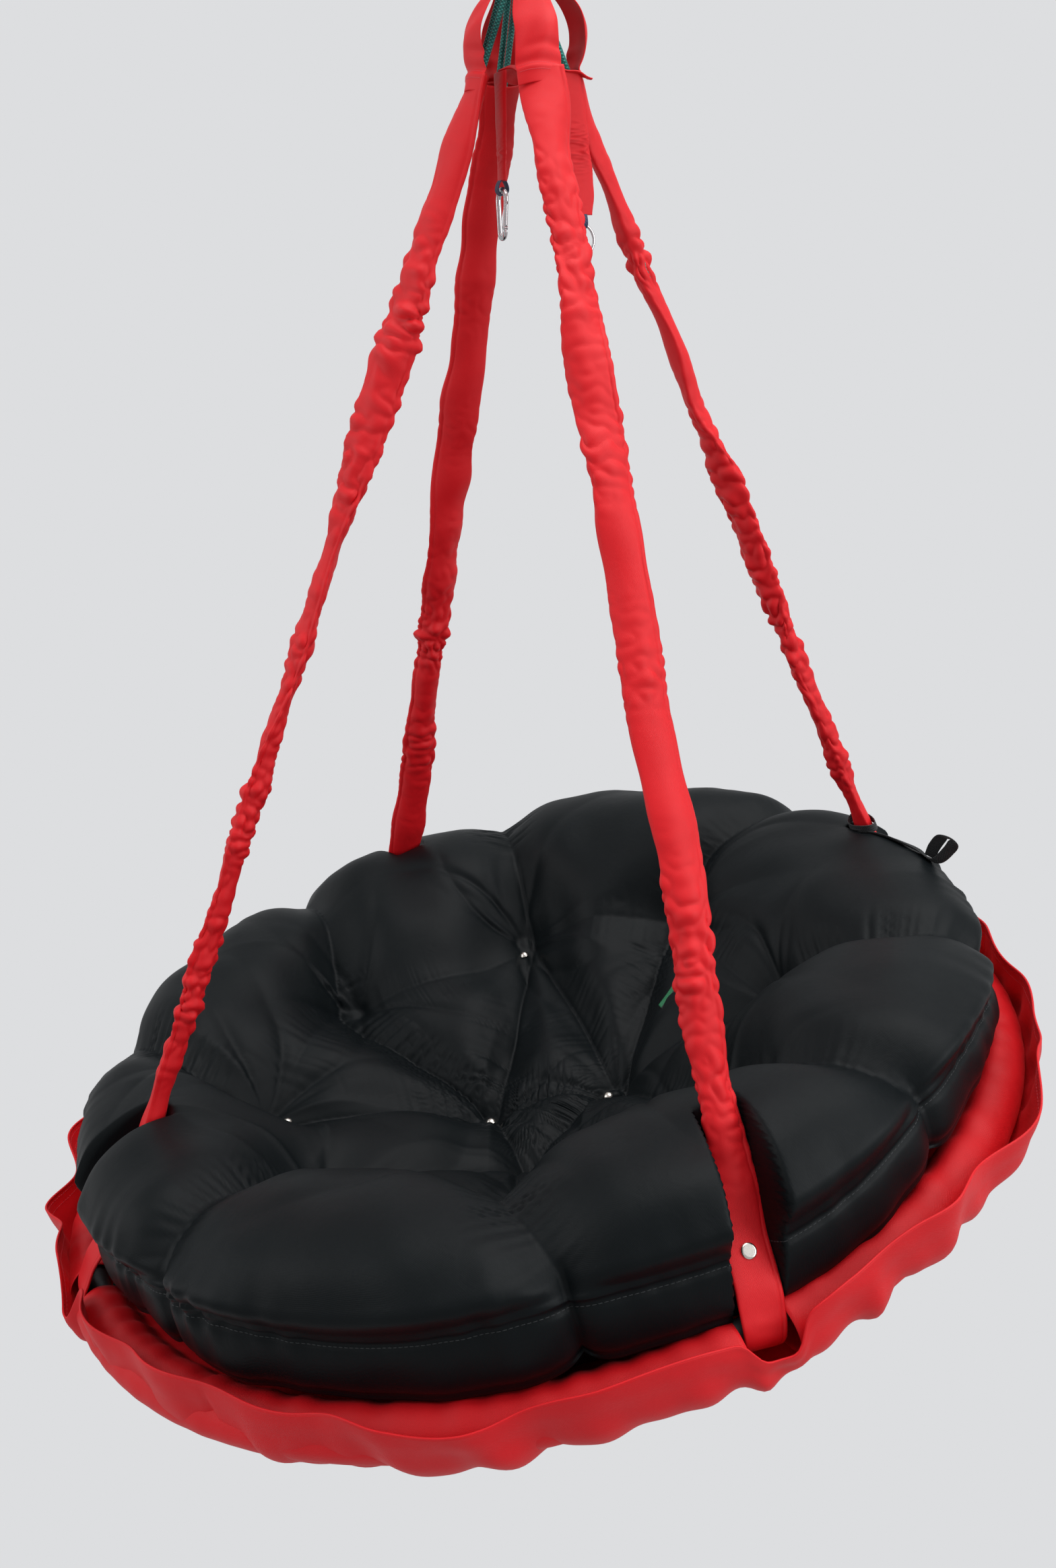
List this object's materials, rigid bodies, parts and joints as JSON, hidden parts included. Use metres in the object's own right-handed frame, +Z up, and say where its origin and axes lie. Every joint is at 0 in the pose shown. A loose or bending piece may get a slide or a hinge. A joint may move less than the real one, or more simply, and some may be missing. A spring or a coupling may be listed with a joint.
{
  "type": "nest swing",
  "caption": "Round hanging nest swing: tufted cushion in a fabric-covered hoop seat, hung on sleeved ropes from a carabiner and swivel.",
  "frame": {"origin": "centre of the swivel's drilled hanging eye", "axes": "+Z up, the longest extent; +Y along the hanging eye's hole and towards the seat's high back edge; +X towards the right-hand rope"},
  "size_m": [1.079, 1.0465, 1.4979],
  "materials": {
    "zinc_steel": "satin",
    "bearing_steel": "polished",
    "hoop_steel": "satin",
    "nickel": "polished",
    "green_cord": "satin",
    "red_fabric": "satin",
    "black_fabric": "satin",
    "black_webbing": "matte",
    "blue_webbing": "matte",
    "label_fabric": "matte",
    "black_plastic": "matte"
  },
  "bodies": {
    "hanger": {"swivel_upper_eye": "zinc_steel", "swivel_bearing": "bearing_steel"},
    "swivel": {"swivel_lower_eye": "zinc_steel", "swivel_nut": "zinc_steel"},
    "carabiner": {"carabiner_frame": "zinc_steel"},
    "carabiner_gate": {"carabiner_gate": "zinc_steel", "carabiner_gate_pin": "bearing_steel"},
    "seat": {"rope_right": "green_cord", "rope_back": "green_cord", "rope_left": "green_cord", "rope_front": "green_cord", "rope_knots": "green_cord", "sleeve_right": "red_fabric", "sleeve_back": "red_fabric", "sleeve_left": "red_fabric", "sleeve_front": "red_fabric", "snap_caps": "nickel", "snap_sockets": "nickel", "hub_band_right": "red_fabric", "hub_band_back": "red_fabric", "hub_band_left": "red_fabric", "hub_band_front": "red_fabric", "hub_gusset": "red_fabric", "hoop": "hoop_steel", "seat_sling": "red_fabric", "rim_flounce": "red_fabric", "cushion": "black_fabric", "cushion_buttons": "nickel", "cushion_back_buttons": "black_plastic", "cushion_tie": "black_webbing", "cushion_label": "label_fabric"},
    "hook_strap": {"hook_strap": "red_fabric", "hook_strap_webbing": "blue_webbing"},
    "snap_hook": {"snap_hook_frame": "zinc_steel"},
    "snap_hook_gate": {"snap_hook_gate": "zinc_steel", "snap_hook_gate_pin": "bearing_steel"},
    "ring_strap": {"ring_strap": "red_fabric", "ring_strap_webbing": "blue_webbing"},
    "strap_ring": {"strap_ring": "zinc_steel"}
  },
  "joints": [
    {"name": "swivel_spin", "type": "hinge", "parent": "hanger", "child": "swivel", "pos_m": [0, 0, -0.045], "axis": [0, 0, 1], "continuous": true},
    {"name": "side_swing", "type": "hinge", "parent": "swivel", "child": "carabiner", "pos_m": [0, 0, -0.0653], "axis": [0, 1, 0], "range_deg": [-40, 40]},
    {"name": "front_back_swing", "type": "hinge", "parent": "carabiner", "child": "seat", "pos_m": [0, 0, -0.1498], "axis": [1, 0, 0], "range_deg": [-35, 35]},
    {"name": "carabiner_gate_swing", "type": "hinge", "parent": "carabiner", "child": "carabiner_gate", "pos_m": [0, -0.01606, -0.08697], "axis": [1, 0, 0], "range_deg": [0, 22], "stiffness_Nm_per_rad": 0.05, "springref_deg": -34.38},
    {"name": "hook_strap_swing", "type": "hinge", "parent": "seat", "child": "hook_strap", "pos_m": [0.006, -0.022, -0.2553], "axis": [1, 0, 0], "range_deg": [-12, 18]},
    {"name": "snap_hook_tilt", "type": "hinge", "parent": "hook_strap", "child": "snap_hook", "pos_m": [0.006, -0.022, -0.3608], "axis": [1, 0, 0], "range_deg": [-25, 45]},
    {"name": "snap_hook_gate_swing", "type": "hinge", "parent": "snap_hook", "child": "snap_hook_gate", "pos_m": [0.01294, -0.022, -0.39613], "axis": [0, -1, 0], "range_deg": [0, 20], "stiffness_Nm_per_rad": 0.01, "springref_deg": -34.38},
    {"name": "ring_strap_swing", "type": "hinge", "parent": "seat", "child": "ring_strap", "pos_m": [0.026, 0.05, -0.2553], "axis": [0, 1, 0], "range_deg": [-25, 3]},
    {"name": "ring_tilt", "type": "hinge", "parent": "ring_strap", "child": "strap_ring", "pos_m": [0.026, 0.05, -0.3918], "axis": [0, 1, 0], "range_deg": [-45, 45]}
  ]
}
